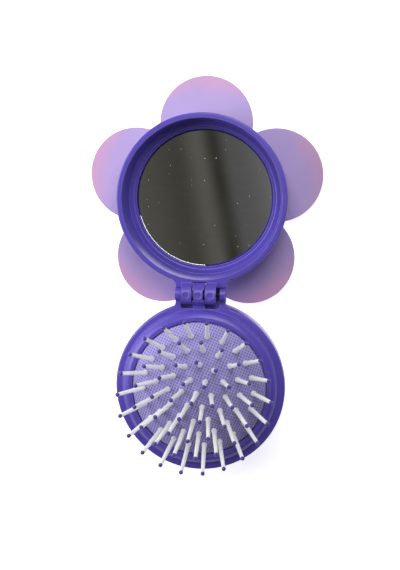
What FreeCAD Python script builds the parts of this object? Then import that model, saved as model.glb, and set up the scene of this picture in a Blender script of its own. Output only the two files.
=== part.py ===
import FreeCAD, Part
import Sketcher
import math
import os
import re

os.makedirs("parts", exist_ok=True)
doc = FreeCAD.newDocument("compact_brush")

# Folding compact hairbrush, open flat: the brush half towards -Y, the mirror half towards +Y.
# Lengths in millimetres, angles in degrees. Each half is drawn about its own centre with its hinge
# towards +Y and its mating plane at height zero; the placements at the end set it into the whole.
SIZES = {
    # Base ring with its flat flange and the raised collar that the lid closes over
    "ring_radius": 33.7,
    "ring_edge": 0.8,
    "ring_wall": 1.6,
    "ring_depth": 3.4,
    "ring_web": 1.2,
    "flange_width": 2.55,
    "collar_width": 4.3,
    "collar_rise": 2.9,
    "collar_slope": 2.85,
    "collar_bow": 5.5,
    "collar_fall": 0.3,
    "collar_lip": 1.5,
    "skirt_wall": 1.1,
    "skirt_depth": 2.6,
    # Back cover with the thumb opening
    "cover_inset": 0.3,
    "cover_taper": 0.3,
    "cover_wall": 1.4,
    "cover_straight": 10.5,
    "cover_round": 10.4,
    "cover_foot_width": 4.0,
    "spigot_gap": 0.4,
    "thumb_share": 0.588,
    "thumb_lip": 3.0,
    # Domed rubber pad and the ring that clamps its edge
    "pad_rise": 9.0,
    "pad_wall": 1.2,
    "pad_flange_width": 2.9,
    "clamp_thickness": 2.0,
    "clamp_width": 3.7,
    # Bristles: a flat head under the pad, a round foot on it, a tapered shaft and a ball tip
    "head_radius": 1.0,
    "head_thickness": 0.5,
    "neck_radius": 0.55,
    "foot_bow": 1.1,
    "foot_seat_radius": 0.95,
    "foot_height": 1.3,
    "shaft_root_radius": 0.9,
    "shaft_tip_radius": 0.7,
    "shaft_share": 0.5347,
    "ball_radius": 0.82,
    "row_1_share": 0.214,
    "row_1_count": 6,
    "row_1_phase": -126.1,
    "row_2_share": 0.4165,
    "row_2_count": 12,
    "row_2_phase": -155.8,
    "row_3_share": 0.6154,
    "row_3_count": 17,
    "row_3_phase": -171.8,
    "row_4_share": 0.8068,
    "row_4_count": 22,
    "row_4_phase": -164.7,
    # Push plate under the pad and the thumb button on its stem
    "plate_margin": 1.8,
    "plate_thickness": 1.5,
    "stem_radius": 5.0,
    "socket_radius": 3.4,
    "socket_depth": 6.0,
    "rib_count": 6,
    "rib_thickness": 1.2,
    "rib_inset": 2.7,
    "rib_height": 3.2,
    "button_share": 0.65,
    "button_thickness": 2.4,
    "button_edge": 0.8,
    "button_floor": 3.4,
    "dish_depth": 1.5,
    # Lid shell with its stepped recess
    "lid_inset": 0.2,
    "lid_edge": 0.6,
    "lid_lip": 2.1,
    "lid_recess": 12.0,
    "lid_draft": 0.9,
    "lid_taper": 0.3,
    "lid_straight": 10.5,
    "lid_round": 6.3,
    "lid_shoulder": 5.5,
    "lid_wall": 1.4,
    "ledge_width": 1.9,
    "step_width": 1.2,
    "step_drop": 0.5,
    # Mirror glass on its tape
    "mirror_thickness": 1.6,
    "mirror_bevel": 0.4,
    "mirror_drop": 0.5,
    "mirror_margin": 0.3,
    "tape_inset": 2.0,
    "tape_thickness": 0.4,
    # Hinge: two lid knuckles round one base knuckle, between two cheeks of the base
    "hinge_offset": 3.4,
    "neck_thickness": 3.0,
    "neck_fillet": 2.2,
    "neck_root": 1.6,
    "neck_end": 2.8,
    "knuckle_radius": 3.9,
    "knuckle_ramp": 60.0,
    "nose_undercut": 45.0,
    "knuckle_width": 4.1,
    "base_knuckle_width": 4.7,
    "knuckle_gap": 0.4,
    "knuckle_shift": 0.5,
    "cheek_radius": 2.4,
    "cheek_ramp": 80.0,
    "cheek_gap": 0.4,
    "cheek_thickness": 2.1,
    "pocket_bite": 2.3,
    "pocket_depth": 2.4,
    "pocket_round": 0.8,
    "bed_drop": 0.45,
    "bed_thickness": 1.0,
    "bed_round": 1.0,
    "bed_wall": 0.6,
    "bed_lap": 0.15,
    "notch_gap": 0.3,
    "pin_radius": 0.9,
    "pin_inset": 0.4,
    "boss_radius": 1.9,
    "boss_height": 0.6,
    "slot_depth": 0.6,
    "slot_gap": 0.2,
    "dimple_radius": 1.25,
    "dimple_depth": 0.3,
    # Blossom plaque on the back of the lid
    "petal_count": 5,
    "petal_bearing": -90.0,
    "petal_overhang": 14.8,
    "cleft_inset": 2.9,
    "plaque_thickness": 2.2,
    "plaque_edge": 0.9,
    "inner_petal_reach": 23.0,
    "inner_cleft_radius": 15.0,
    "inner_petal_thickness": 0.8,
    "inner_petal_edge": 0.5,
    "blossom_eye_radius": 7.0,
    "blossom_eye_thickness": 0.8,
    "blossom_eye_edge": 0.6,
    # Clearances, and how far a cutting shape runs past what it cuts
    "close_gap": 0.3,
    "seat_gap": 0.05,
    "slide_gap": 0.2,
    "pin_gap": 0.05,
    "overrun": 1.0,
}

sheet = doc.addObject("Spreadsheet::Sheet", "dims")
for row, (alias, size) in enumerate(SIZES.items(), start=1):
    sheet.set(f"A{row}", alias)
    sheet.set(f"B{row}", str(size))
    sheet.setAlias(f"B{row}", alias)
doc.recompute()

# Heights and radii that several pieces share, as formulas of the sheet's sizes.
# The base is as deep as the lid with its blossom, so that both halves lie level.
AXIS_HEIGHT = "(close_gap / 2)"
COLLAR_FOOT = "(ring_radius - flange_width)"
BORE = f"({COLLAR_FOOT} - collar_width)"
PAD = f"({BORE} - slide_gap)"
PAD_FLANGE = f"({PAD} + pad_flange_width)"
LIP_UNDERSIDE = "(collar_rise - collar_fall - collar_lip)"
SEAT = f"({PAD_FLANGE} + seat_gap)"
SKIRT = f"({SEAT} + skirt_wall)"
SPIGOT = "(ring_radius - ring_wall - seat_gap)"
COVER_RIM = "(ring_radius - cover_inset)"
COVER_FOOT = f"({COVER_RIM} - cover_taper)"
THUMB = "(thumb_share * ring_radius)"
COVER_FLAT = f"({THUMB} + cover_foot_width)"
PAD_FLANGE_TOP = f"({LIP_UNDERSIDE} - seat_gap)"
PAD_FLANGE_UNDERSIDE = f"({PAD_FLANGE_TOP} - pad_wall)"
PAD_RIM = "(collar_rise - collar_fall)"
DOME = f"(({PAD}^2 + pad_rise^2) / (2 * pad_rise))"
DOME_CENTRE = f"({PAD_RIM} + pad_rise - {DOME})"
HEAD_TOP = f"({DOME} - pad_wall - seat_gap)"
HEAD_BOTTOM = f"({HEAD_TOP} - head_thickness)"
FOOT = f"({DOME} + seat_gap)"
SHAFT_END = f"({FOOT} + foot_height + shaft_share * {PAD})"
PLATE = f"({HEAD_BOTTOM} - seat_gap)"
PLATE_UNDERSIDE = f"({PLATE} - plate_thickness)"
PLATE_EDGE = f"(row_3_share * {PAD} + plate_margin)"
RIB_REACH = f"({PLATE_EDGE} - rib_inset)"
BUTTON = f"(button_share * {THUMB})"
STEM_END = "(button_thickness - button_floor + seat_gap)"
LID = "(ring_radius - lid_inset)"
LID_MOUTH = f"({LID} - lid_lip)"
LID_FOOT = f"({LID} - lid_taper)"
LID_STEP = f"({LID_MOUTH} - lid_draft - ledge_width)"
MIRROR_POCKET = f"({LID_STEP} - step_width)"
MIRROR = f"({MIRROR_POCKET} - mirror_margin)"
TAPE = f"({MIRROR} - tape_inset)"
STEP_DEPTH = "(lid_recess + step_drop)"
MIRROR_FACE = f"({STEP_DEPTH} + mirror_drop)"
LID_FLOOR = f"({MIRROR_FACE} + mirror_thickness + tape_thickness + 2 * seat_gap)"
LID_BACK = f"({LID_FLOOR} + lid_wall)"
PLAQUE_BACK = f"({LID_BACK} + seat_gap + plaque_thickness)"
PETALS_BACK = f"({PLAQUE_BACK} + inner_petal_thickness)"
BLOSSOM_BACK = f"({PETALS_BACK} + blossom_eye_thickness)"
BASE_DEPTH = BLOSSOM_BACK
PETAL_REACH = f"({LID} + petal_overhang)"
PETAL_CLEFT = f"({LID} - cleft_inset)"
HINGE = "(ring_radius + hinge_offset)"
BED = f"(knuckle_radius - {AXIS_HEIGHT} + bed_drop)"
BED_UNDERSIDE = f"({BED} + bed_thickness)"
BED_BACK = f"({COVER_RIM} + 2 * seat_gap)"
BED_END = f"(2 * {HINGE} - {LID} - close_gap)"
KNUCKLE_NEAR = "(base_knuckle_width / 2 + knuckle_gap)"
CHEEK_INSIDE = f"(knuckle_shift + {KNUCKLE_NEAR} + knuckle_width + cheek_gap)"
NECK = f"({CHEEK_INSIDE} + cheek_thickness)"
BASE_KNUCKLE_START = "(-knuckle_shift - base_knuckle_width / 2)"
PIN_BORE = "(pin_radius + pin_gap)"

# Share of an edge's length within which it counts as lying flat
FLAT_SHARE = 0.0001

# Turns of one degree about a sketch's vertical axis and, clockwise, about its normal
UPRIGHT_TURN = FreeCAD.Rotation(FreeCAD.Vector(0, 1, 0), 1)
OUTWARD_TURN = FreeCAD.Rotation(FreeCAD.Vector(0, 0, -1), 1)


def bound(formula):
    """The formula with every alias written as a reference to the sheet."""
    def reference(match):
        word = match.group()
        return f"dims.{word}" if word in SIZES else word
    return re.sub(r"[a-z][a-z0-9_]*", reference, formula)


def value(formula):
    """The formula worked out from the sheet's present sizes."""
    result = sheet.evalExpression(bound(formula))
    return float(getattr(result, "Value", result))


def bind(item, prop, formula):
    """Keep a property of a document object equal to a formula of the sheet's sizes."""
    item.setExpression(prop, bound(formula))


def new_body(label):
    """An empty body whose label names the sub-part; it may hold several solids."""
    body = doc.addObject("PartDesign::Body", label)
    body.Label = label
    body.AllowCompound = True
    return body


def new_sketch(body, name, role, lift="0"):
    """A sketch on one of the body's own origin planes, raised along the plane's normal."""
    sketch = body.newObject("Sketcher::SketchObject", f"{body.Name}_{name}")
    plane = [feature for feature in body.Origin.OriginFeatures if feature.Role == role][0]
    sketch.AttachmentSupport = (plane, [""])
    sketch.MapMode = "FlatFace"
    if lift != "0":
        bind(sketch, ".AttachmentOffset.Base.z", lift)
    return sketch


def turned_sketch(body, name, bearing):
    """A sketch on an upright datum plane of the body, turned from +X to the bearing."""
    sketch = new_sketch(body, name, "XZ_Plane")
    turned = body.newObject("PartDesign::Plane", f"{body.Name}_{name}_plane")
    turned.AttachmentSupport = sketch.AttachmentSupport
    turned.MapMode = "FlatFace"
    turned.AttachmentOffset = FreeCAD.Placement(FreeCAD.Vector(), UPRIGHT_TURN)
    bind(turned, ".AttachmentOffset.Rotation.Angle", f"1 deg * {bearing}")
    sketch.AttachmentSupport = (turned, [""])
    return sketch


def arc_between(start, end, radius, turn):
    """The arc under a half turn from start to end, its centre to the left or right of the way."""
    chord = end - start
    reach = math.sqrt(max(radius * radius - chord.Length * chord.Length / 4, 0))
    across = FreeCAD.Vector(-chord.y, chord.x, 0).normalize()
    side = 1 if turn == "left" else -1
    centre = (start + end) / 2 + across * side * reach
    first, last = (start, end) if turn == "left" else (end, start)
    circle = Part.Circle(centre, FreeCAD.Vector(0, 0, 1), radius)
    return Part.ArcOfCircle(circle, circle.parameter(first), circle.parameter(last))


def draw_outline(sketch, corners):
    """A closed outline whose corners, and the radii of its arcs, stay bound to the sheet.

    A corner is (x, y), or (x, y, radius, turn) where an arc leads on to the next corner.
    """
    spots = [FreeCAD.Vector(value(corner[0]), value(corner[1]), 0) for corner in corners]
    ends = []
    for number, corner in enumerate(corners):
        start = spots[number]
        end = spots[(number + 1) % len(corners)]
        if len(corner) == 2:
            edge = sketch.addGeometry(Part.LineSegment(start, end))
            ends.append((edge, 1, 2))
        else:
            edge = sketch.addGeometry(arc_between(start, end, value(corner[2]), corner[3]))
            ends.append((edge, 1, 2) if corner[3] == "left" else (edge, 2, 1))
    for number, (edge, first, last) in enumerate(ends):
        following, next_first, next_last = ends[(number + 1) % len(ends)]
        sketch.addConstraint(Sketcher.Constraint("Coincident", edge, last, following, next_first))
    for (edge, first, last), corner, spot in zip(ends, corners, spots):
        for kind, formula, place in (("DistanceX", corner[0], spot.x), ("DistanceY", corner[1], spot.y)):
            rule = sketch.addConstraint(Sketcher.Constraint(kind, -1, 1, edge, first, place))
            bind(sketch, f"Constraints[{rule}]", formula)
        if len(corner) > 2:
            rule = sketch.addConstraint(Sketcher.Constraint("Radius", edge, value(corner[2])))
            bind(sketch, f"Constraints[{rule}]", corner[2])


def draw_circle(sketch, x, y, radius):
    """A circle whose centre and radius stay bound to the sheet."""
    centre = FreeCAD.Vector(value(x), value(y), 0)
    circle = sketch.addGeometry(Part.Circle(centre, FreeCAD.Vector(0, 0, 1), value(radius)))
    for kind, formula, place in (("DistanceX", x, centre.x), ("DistanceY", y, centre.y)):
        rule = sketch.addConstraint(Sketcher.Constraint(kind, -1, 1, circle, 3, place))
        bind(sketch, f"Constraints[{rule}]", formula)
    rule = sketch.addConstraint(Sketcher.Constraint("Radius", circle, value(radius)))
    bind(sketch, f"Constraints[{rule}]", radius)


def revolve(body, name, sketch, kind="PartDesign::Revolution"):
    """Turn a sketch once round its own vertical axis, adding to the body or cutting it."""
    feature = body.newObject(kind, f"{body.Name}_{name}")
    feature.Profile = sketch
    feature.ReferenceAxis = (sketch, ["V_Axis"])
    feature.Angle = 360
    body.Tip = feature
    return feature


def extrude(body, name, sketch, length, kind="PartDesign::Pad", backwards=False):
    """Pad or pocket a sketch by a length that stays bound to the sheet."""
    feature = body.newObject(kind, f"{body.Name}_{name}")
    feature.Profile = sketch
    feature.Reversed = backwards
    bind(feature, "Length", length)
    body.Tip = feature
    return feature


def repeat_round(body, name, feature, count):
    """Repeat a feature in a full circle round the body's upright axis."""
    axis = [line for line in body.Origin.OriginFeatures if line.Role == "Z_Axis"][0]
    pattern = body.newObject("PartDesign::PolarPattern", f"{body.Name}_{name}")
    pattern.Originals = [feature]
    pattern.Axis = (axis, [""])
    pattern.Angle = 360
    bind(pattern, "Occurrences", count)
    body.Tip = pattern
    return pattern


def on_sphere(radius, reach):
    """Height of a sphere about the dome's centre, at a distance from the axis."""
    return f"({DOME_CENTRE} + sqrt({radius} * {radius} - {reach} * {reach}))"


def neck_outline(outer_radius, inner_radius, end):
    """Plan of the neck that leads from a round rim to the hinge, filleted into the rim."""
    spread = f"({NECK} + neck_fillet)"
    run = f"({outer_radius} + neck_fillet)"
    rise = f"sqrt({run} * {run} - {spread} * {spread})"
    corners = []
    for side, order in ((1, 1), (-1, -1)):
        flank = [
            (f"{side} * {spread} * {inner_radius} / {run}", f"{rise} * {inner_radius} / {run}"),
            (f"{side} * {spread} * {outer_radius} / {run}", f"{rise} * {outer_radius} / {run}"),
            (f"{side} * {NECK}", rise),
            (f"{side} * {NECK}", end),
        ]
        corners += flank[::order]
    corners[1] = corners[1] + ("neck_fillet", "right")
    corners[5] = corners[5] + ("neck_fillet", "right")
    corners[7] = corners[7] + (inner_radius, "right")
    return corners


def ramp_foot(radius, ramp):
    """How far from the hinge axis a barrel's ramp comes down to the mating plane."""
    return f"(({radius} + {AXIS_HEIGHT} * cos(1 deg * {ramp})) / sin(1 deg * {ramp}))"


def barrel_outline(radius, ramp, root, nose=False):
    """Side view of a round barrel on the hinge axis, with its web and a ramp back to the root.

    A nose repeats the ramp on the far side and is cut back to the barrel's underside.
    """
    low = f"{HINGE} - sqrt({radius}^2 - (neck_thickness + {AXIS_HEIGHT})^2)"
    if value(radius) <= value(f"neck_thickness + {AXIS_HEIGHT}"):
        low = HINGE
    run = f"{radius} * sin(1 deg * {ramp})"
    rise = f"{AXIS_HEIGHT} + {radius} * cos(1 deg * {ramp})"
    far_side = [(f"{HINGE} + {radius}", AXIS_HEIGHT, radius, "left")]
    if nose:
        far_side = [
            (
                f"{HINGE} + {radius} * sin(1 deg * nose_undercut)",
                f"{AXIS_HEIGHT} - {radius} * cos(1 deg * nose_undercut)",
            ),
            (f"{HINGE} + {ramp_foot(radius, ramp)}", "0"),
            (f"{HINGE} + {run}", rise, radius, "left"),
        ]
    return [
        (root, "-neck_thickness"),
        (low, "-neck_thickness", radius, "left"),
        *far_side,
        (HINGE, f"{AXIS_HEIGHT} + {radius}", radius, "left"),
        (f"{HINGE} - {run}", rise),
        (f"{HINGE} - {ramp_foot(radius, ramp)}", "0"),
        (root, "0"),
    ]


def cut_pin_bore(body):
    """Bore the knuckles along the hinge axis."""
    sketch = new_sketch(body, "pin_bore_sketch", "YZ_Plane", f"-{NECK} - overrun")
    draw_circle(sketch, HINGE, AXIS_HEIGHT, PIN_BORE)
    extrude(body, "pin_bore", sketch, f"2 * ({NECK} + overrun)", "PartDesign::Pocket", True)


def cut_dimples(body, places):
    """Shallow round sinks on top of the knuckles."""
    height = f"{AXIS_HEIGHT} + knuckle_radius - dimple_depth"
    sketch = new_sketch(body, "dimple_sketch", "XY_Plane", height)
    for place in places:
        draw_circle(sketch, place, HINGE, "dimple_radius")
    extrude(body, "dimples", sketch, "overrun", "PartDesign::Pocket", True)


def make_base_ring():
    """Moulded ring: flange, collar, skirt for the pad, and the hinge's bed, cheeks and middle knuckle."""
    body = new_body("base_ring")
    sketch = new_sketch(body, "section", "XZ_Plane")
    draw_outline(sketch, [
        ("ring_radius", "-ring_depth"),
        ("ring_radius", "-ring_edge", "ring_edge", "left"),
        ("ring_radius - ring_edge", "0"),
        (COLLAR_FOOT, "0", "collar_bow", "left"),
        (f"{COLLAR_FOOT} - collar_slope", "collar_rise"),
        (BORE, "collar_rise - collar_fall"),
        (BORE, LIP_UNDERSIDE),
        (SEAT, LIP_UNDERSIDE),
        (SEAT, "-skirt_depth"),
        (SKIRT, "-skirt_depth"),
        (SKIRT, "-ring_web"),
        ("ring_radius - ring_wall", "-ring_web"),
        ("ring_radius - ring_wall", "-ring_depth"),
    ])
    revolve(body, "ring", sketch)

    neck = new_sketch(body, "neck_plan", "XY_Plane")
    draw_outline(neck, neck_outline("ring_radius", f"({SKIRT} - skirt_wall / 2)", HINGE))
    extrude(body, "neck", neck, "neck_thickness", backwards=True)

    back = "(ring_radius - pocket_bite)"
    pocket = new_sketch(body, "pocket_plan", "XY_Plane")
    draw_outline(pocket, [
        (f"-{CHEEK_INSIDE}", f"{back} + pocket_round", "pocket_round", "left"),
        (f"-{CHEEK_INSIDE} + pocket_round", back),
        (f"{CHEEK_INSIDE} - pocket_round", back, "pocket_round", "left"),
        (CHEEK_INSIDE, f"{back} + pocket_round"),
        (CHEEK_INSIDE, f"{HINGE} + overrun"),
        (f"-{CHEEK_INSIDE}", f"{HINGE} + overrun"),
    ])
    extrude(body, "pocket", pocket, "pocket_depth", "PartDesign::Pocket")

    well = new_sketch(body, "well_plan", "XY_Plane")
    draw_outline(well, [
        (f"-{CHEEK_INSIDE}", "ring_radius"),
        (CHEEK_INSIDE, "ring_radius"),
        (CHEEK_INSIDE, f"{HINGE} + overrun"),
        (f"-{CHEEK_INSIDE}", f"{HINGE} + overrun"),
    ])
    extrude(body, "well", well, "ring_depth + overrun", "PartDesign::Pocket")

    root = f"{back} - overrun"
    for name, start in (("left", f"-{NECK}"), ("right", CHEEK_INSIDE)):
        cheek = new_sketch(body, f"{name}_cheek_side", "YZ_Plane", start)
        draw_outline(cheek, barrel_outline("cheek_radius", "cheek_ramp", root))
        extrude(body, f"{name}_cheek", cheek, "cheek_thickness")

    bed = new_sketch(body, "bed_section", "XZ_Plane", f"-{HINGE} - cheek_radius")
    draw_outline(bed, [
        (f"-{NECK}", "-neck_thickness / 2"),
        (f"-{NECK}", f"-{BED_UNDERSIDE} + bed_round", "bed_round", "left"),
        (f"-{NECK} + bed_round", f"-{BED_UNDERSIDE}"),
        (f"{NECK} - bed_round", f"-{BED_UNDERSIDE}", "bed_round", "left"),
        (NECK, f"-{BED_UNDERSIDE} + bed_round"),
        (NECK, "-neck_thickness / 2"),
        (CHEEK_INSIDE, "-neck_thickness / 2"),
        (CHEEK_INSIDE, f"-{BED}"),
        (f"-{CHEEK_INSIDE}", f"-{BED}"),
        (f"-{CHEEK_INSIDE}", "-neck_thickness / 2"),
    ])
    extrude(body, "bed", bed, f"{HINGE} + cheek_radius - {BED_BACK}")

    tray = new_sketch(body, "tray_side", "YZ_Plane", f"-{CHEEK_INSIDE}")
    draw_outline(tray, [
        (BED_BACK, f"-{BED_UNDERSIDE}"),
        (BED_END, f"-{BED_UNDERSIDE}"),
        (BED_END, "-neck_thickness - close_gap"),
        (f"{BED_END} - bed_wall", "-neck_thickness - close_gap"),
        (f"{BED_END} - bed_wall", f"-{BED}"),
        (f"{BED_BACK} + bed_wall", f"-{BED}"),
        (f"{BED_BACK} + bed_wall", "-neck_thickness + bed_lap"),
        (BED_BACK, "-neck_thickness + bed_lap"),
    ])
    extrude(body, "tray", tray, f"2 * {CHEEK_INSIDE}")

    knuckle = new_sketch(body, "knuckle_side", "YZ_Plane", BASE_KNUCKLE_START)
    draw_outline(knuckle, barrel_outline("knuckle_radius", "knuckle_ramp", root, nose=True))
    extrude(body, "knuckle", knuckle, "base_knuckle_width")

    slot = "(boss_radius + slot_gap)"
    faces = (
        ("left", BASE_KNUCKLE_START, True),
        ("right", f"{BASE_KNUCKLE_START} + base_knuckle_width", False),
    )
    for name, face, inward in faces:
        side = new_sketch(body, f"{name}_slot_side", "YZ_Plane", face)
        draw_outline(side, [
            (f"{HINGE} - {slot}", AXIS_HEIGHT, slot, "left"),
            (HINGE, f"{AXIS_HEIGHT} - {slot}", slot, "left"),
            (f"{HINGE} + {slot}", AXIS_HEIGHT),
            (f"{HINGE} + {slot}", f"{AXIS_HEIGHT} + knuckle_radius + overrun"),
            (f"{HINGE} - {slot}", f"{AXIS_HEIGHT} + knuckle_radius + overrun"),
        ])
        extrude(body, f"{name}_slot", side, "slot_depth", "PartDesign::Pocket", inward)
    cut_dimples(body, ["-knuckle_shift"])
    cut_pin_bore(body)
    return body


def make_back_cover():
    """Bowl that closes the base from behind, open for the thumb, its spigot parted at the hinge."""
    body = new_body("base_back_cover")
    inside = f"({SKIRT} + spigot_gap)"
    sketch = new_sketch(body, "section", "XZ_Plane")
    draw_outline(sketch, [
        (SPIGOT, "-ring_web - seat_gap"),
        (inside, "-ring_web - seat_gap"),
        (inside, "-ring_depth - cover_wall"),
        (f"{COVER_FOOT} - cover_wall", "-cover_straight", "cover_round - cover_wall", "right"),
        (COVER_FLAT, f"-{BASE_DEPTH} + cover_wall"),
        (f"{THUMB} + cover_wall", f"-{BASE_DEPTH} + cover_wall"),
        (f"{THUMB} + cover_wall", f"-{BASE_DEPTH} + thumb_lip"),
        (THUMB, f"-{BASE_DEPTH} + thumb_lip"),
        (THUMB, f"-{BASE_DEPTH}"),
        (COVER_FLAT, f"-{BASE_DEPTH}", "cover_round", "left"),
        (COVER_FOOT, "-cover_straight"),
        (COVER_RIM, "-ring_depth - seat_gap"),
        (SPIGOT, "-ring_depth - seat_gap"),
    ])
    revolve(body, "bowl", sketch)
    gap = new_sketch(body, "spigot_gap_plan", "XY_Plane", "-ring_web")
    spread = f"({NECK} + neck_fillet)"
    draw_outline(gap, [
        (f"-{spread}", f"{SKIRT} - skirt_wall"),
        (spread, f"{SKIRT} - skirt_wall"),
        (spread, "ring_radius"),
        (f"-{spread}", "ring_radius"),
    ])
    extrude(body, "spigot_gap", gap, "neck_thickness + close_gap - ring_web", "PartDesign::Pocket")
    return body


def make_clamp_ring():
    """Ring pressed into the skirt under the pad's edge."""
    body = new_body("pad_clamp_ring")
    sketch = new_sketch(body, "section", "XZ_Plane")
    top = f"{PAD_FLANGE_UNDERSIDE} - seat_gap"
    draw_outline(sketch, [
        (f"{PAD_FLANGE} - clamp_width", f"{top} - clamp_thickness"),
        (PAD_FLANGE, f"{top} - clamp_thickness"),
        (PAD_FLANGE, top),
        (f"{PAD_FLANGE} - clamp_width", top),
    ])
    revolve(body, "ring", sketch)
    return body


def bristle_frame(body, name, row_radius, phase):
    """A sketch whose vertical axis stands on the dome, tilted out with the row's radius."""
    sketch = turned_sketch(body, name, phase)
    sketch.AttachmentOffset = FreeCAD.Placement(FreeCAD.Vector(), OUTWARD_TURN)
    bind(sketch, ".AttachmentOffset.Base.y", DOME_CENTRE)
    bind(sketch, ".AttachmentOffset.Rotation.Angle", f"asin({row_radius} / {DOME})")
    return sketch


# The rows from the middle outwards: name, radius on the dome, count and the first one's bearing
ROWS = [("centre", "0", None, "0")] + [
    (f"row_{number}", f"(row_{number}_share * {PAD})", f"row_{number}_count", f"row_{number}_phase")
    for number in range(1, 5)
]


def make_pad():
    """Rubber dome with a clamped flange, pierced for every bristle."""
    body = new_body("brush_pad")
    inner = f"({PAD} - pad_wall)"
    shell = f"({DOME} - pad_wall)"
    sketch = new_sketch(body, "section", "XZ_Plane")
    draw_outline(sketch, [
        ("0", f"{DOME_CENTRE} + {DOME}", DOME, "right"),
        (PAD, PAD_RIM),
        (PAD, PAD_FLANGE_TOP),
        (PAD_FLANGE, PAD_FLANGE_TOP),
        (PAD_FLANGE, PAD_FLANGE_UNDERSIDE),
        (inner, PAD_FLANGE_UNDERSIDE),
        (inner, on_sphere(shell, inner), shell, "left"),
        ("0", f"{DOME_CENTRE} + {shell}"),
    ])
    revolve(body, "dome", sketch)
    for name, row_radius, count, phase in ROWS:
        hole = bristle_frame(body, f"{name}_hole", row_radius, phase)
        draw_outline(hole, [
            ("0", f"{shell} - overrun"),
            ("neck_radius + seat_gap", f"{shell} - overrun"),
            ("neck_radius + seat_gap", f"{DOME} + overrun"),
            ("0", f"{DOME} + overrun"),
        ])
        cut = revolve(body, f"{name}_hole_cut", hole, "PartDesign::Groove")
        if count:
            repeat_round(body, f"{name}_holes", cut, count)
    return body


def make_bristles(name, row_radius, count, phase):
    """One row of moulded bristles, each square to the dome."""
    body = new_body(f"bristles_{name}")
    sketch = bristle_frame(body, "section", row_radius, phase)
    draw_outline(sketch, [
        ("0", HEAD_BOTTOM),
        ("head_radius", HEAD_BOTTOM),
        ("head_radius", HEAD_TOP),
        ("neck_radius", HEAD_TOP),
        ("neck_radius", FOOT),
        ("foot_seat_radius", FOOT, "foot_bow", "left"),
        ("shaft_root_radius", f"{FOOT} + foot_height"),
        ("shaft_tip_radius", SHAFT_END),
        ("0", SHAFT_END),
    ])
    bristle = revolve(body, "bristle", sketch)
    if count:
        repeat_round(body, "row", bristle, count)
    return body


def make_bristle_tips(name, row_radius, count, phase):
    """The ball tips of one row, each seated on the end of its shaft."""
    body = new_body(f"bristle_tips_{name}")
    sit = "sqrt(ball_radius * ball_radius - shaft_tip_radius * shaft_tip_radius)"
    sketch = bristle_frame(body, "section", row_radius, phase)
    draw_outline(sketch, [
        ("0", SHAFT_END),
        ("shaft_tip_radius", SHAFT_END, "ball_radius", "left"),
        ("ball_radius", f"{SHAFT_END} + {sit}", "ball_radius", "left"),
        ("0", f"{SHAFT_END} + {sit} + ball_radius"),
    ])
    ball = revolve(body, "ball", sketch)
    if count:
        repeat_round(body, "row", ball, count)
    return body


def make_push_plate():
    """Stiff domed plate under the pad's middle, with ribs and a hollow stem for the button."""
    body = new_body("push_plate")
    middle = f"({PLATE} - plate_thickness / 2)"
    sketch = new_sketch(body, "section", "XZ_Plane")
    draw_outline(sketch, [
        ("0", f"{DOME_CENTRE} + {PLATE}", PLATE, "right"),
        (PLATE_EDGE, on_sphere(PLATE, PLATE_EDGE)),
        (PLATE_EDGE, on_sphere(PLATE_UNDERSIDE, PLATE_EDGE), PLATE_UNDERSIDE, "left"),
        ("stem_radius", on_sphere(PLATE_UNDERSIDE, "stem_radius")),
        ("stem_radius", STEM_END),
        ("socket_radius", STEM_END),
        ("socket_radius", f"{STEM_END} + socket_depth"),
        ("0", f"{STEM_END} + socket_depth"),
    ])
    revolve(body, "plate", sketch)
    wall = "((stem_radius + socket_radius) / 2)"
    rib = new_sketch(body, "rib_side", "XZ_Plane", "-rib_thickness / 2")
    draw_outline(rib, [
        (wall, on_sphere(PLATE_UNDERSIDE, "stem_radius") + " - rib_height"),
        (RIB_REACH, on_sphere(PLATE_UNDERSIDE, RIB_REACH)),
        (RIB_REACH, on_sphere(middle, RIB_REACH), middle, "left"),
        (wall, on_sphere(middle, wall)),
    ])
    first = extrude(body, "rib", rib, "rib_thickness")
    repeat_round(body, "ribs", first, "rib_count")
    return body


def make_thumb_button():
    """Dished button whose peg presses into the plate's stem."""
    body = new_body("thumb_button")
    flat = f"({BUTTON} - button_edge)"
    dish = f"(({flat}^2 + dish_depth^2) / (2 * dish_depth))"
    sketch = new_sketch(body, "section", "XZ_Plane")
    draw_outline(sketch, [
        ("0", "-button_floor + dish_depth", dish, "right"),
        (flat, "-button_floor", "button_edge", "left"),
        (BUTTON, "-button_floor + button_edge"),
        (BUTTON, "-button_floor + button_thickness"),
        ("socket_radius - seat_gap", "-button_floor + button_thickness"),
        ("socket_radius - seat_gap", f"{STEM_END} + socket_depth - seat_gap"),
        ("0", f"{STEM_END} + socket_depth - seat_gap"),
    ])
    revolve(body, "button", sketch)
    return body


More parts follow.
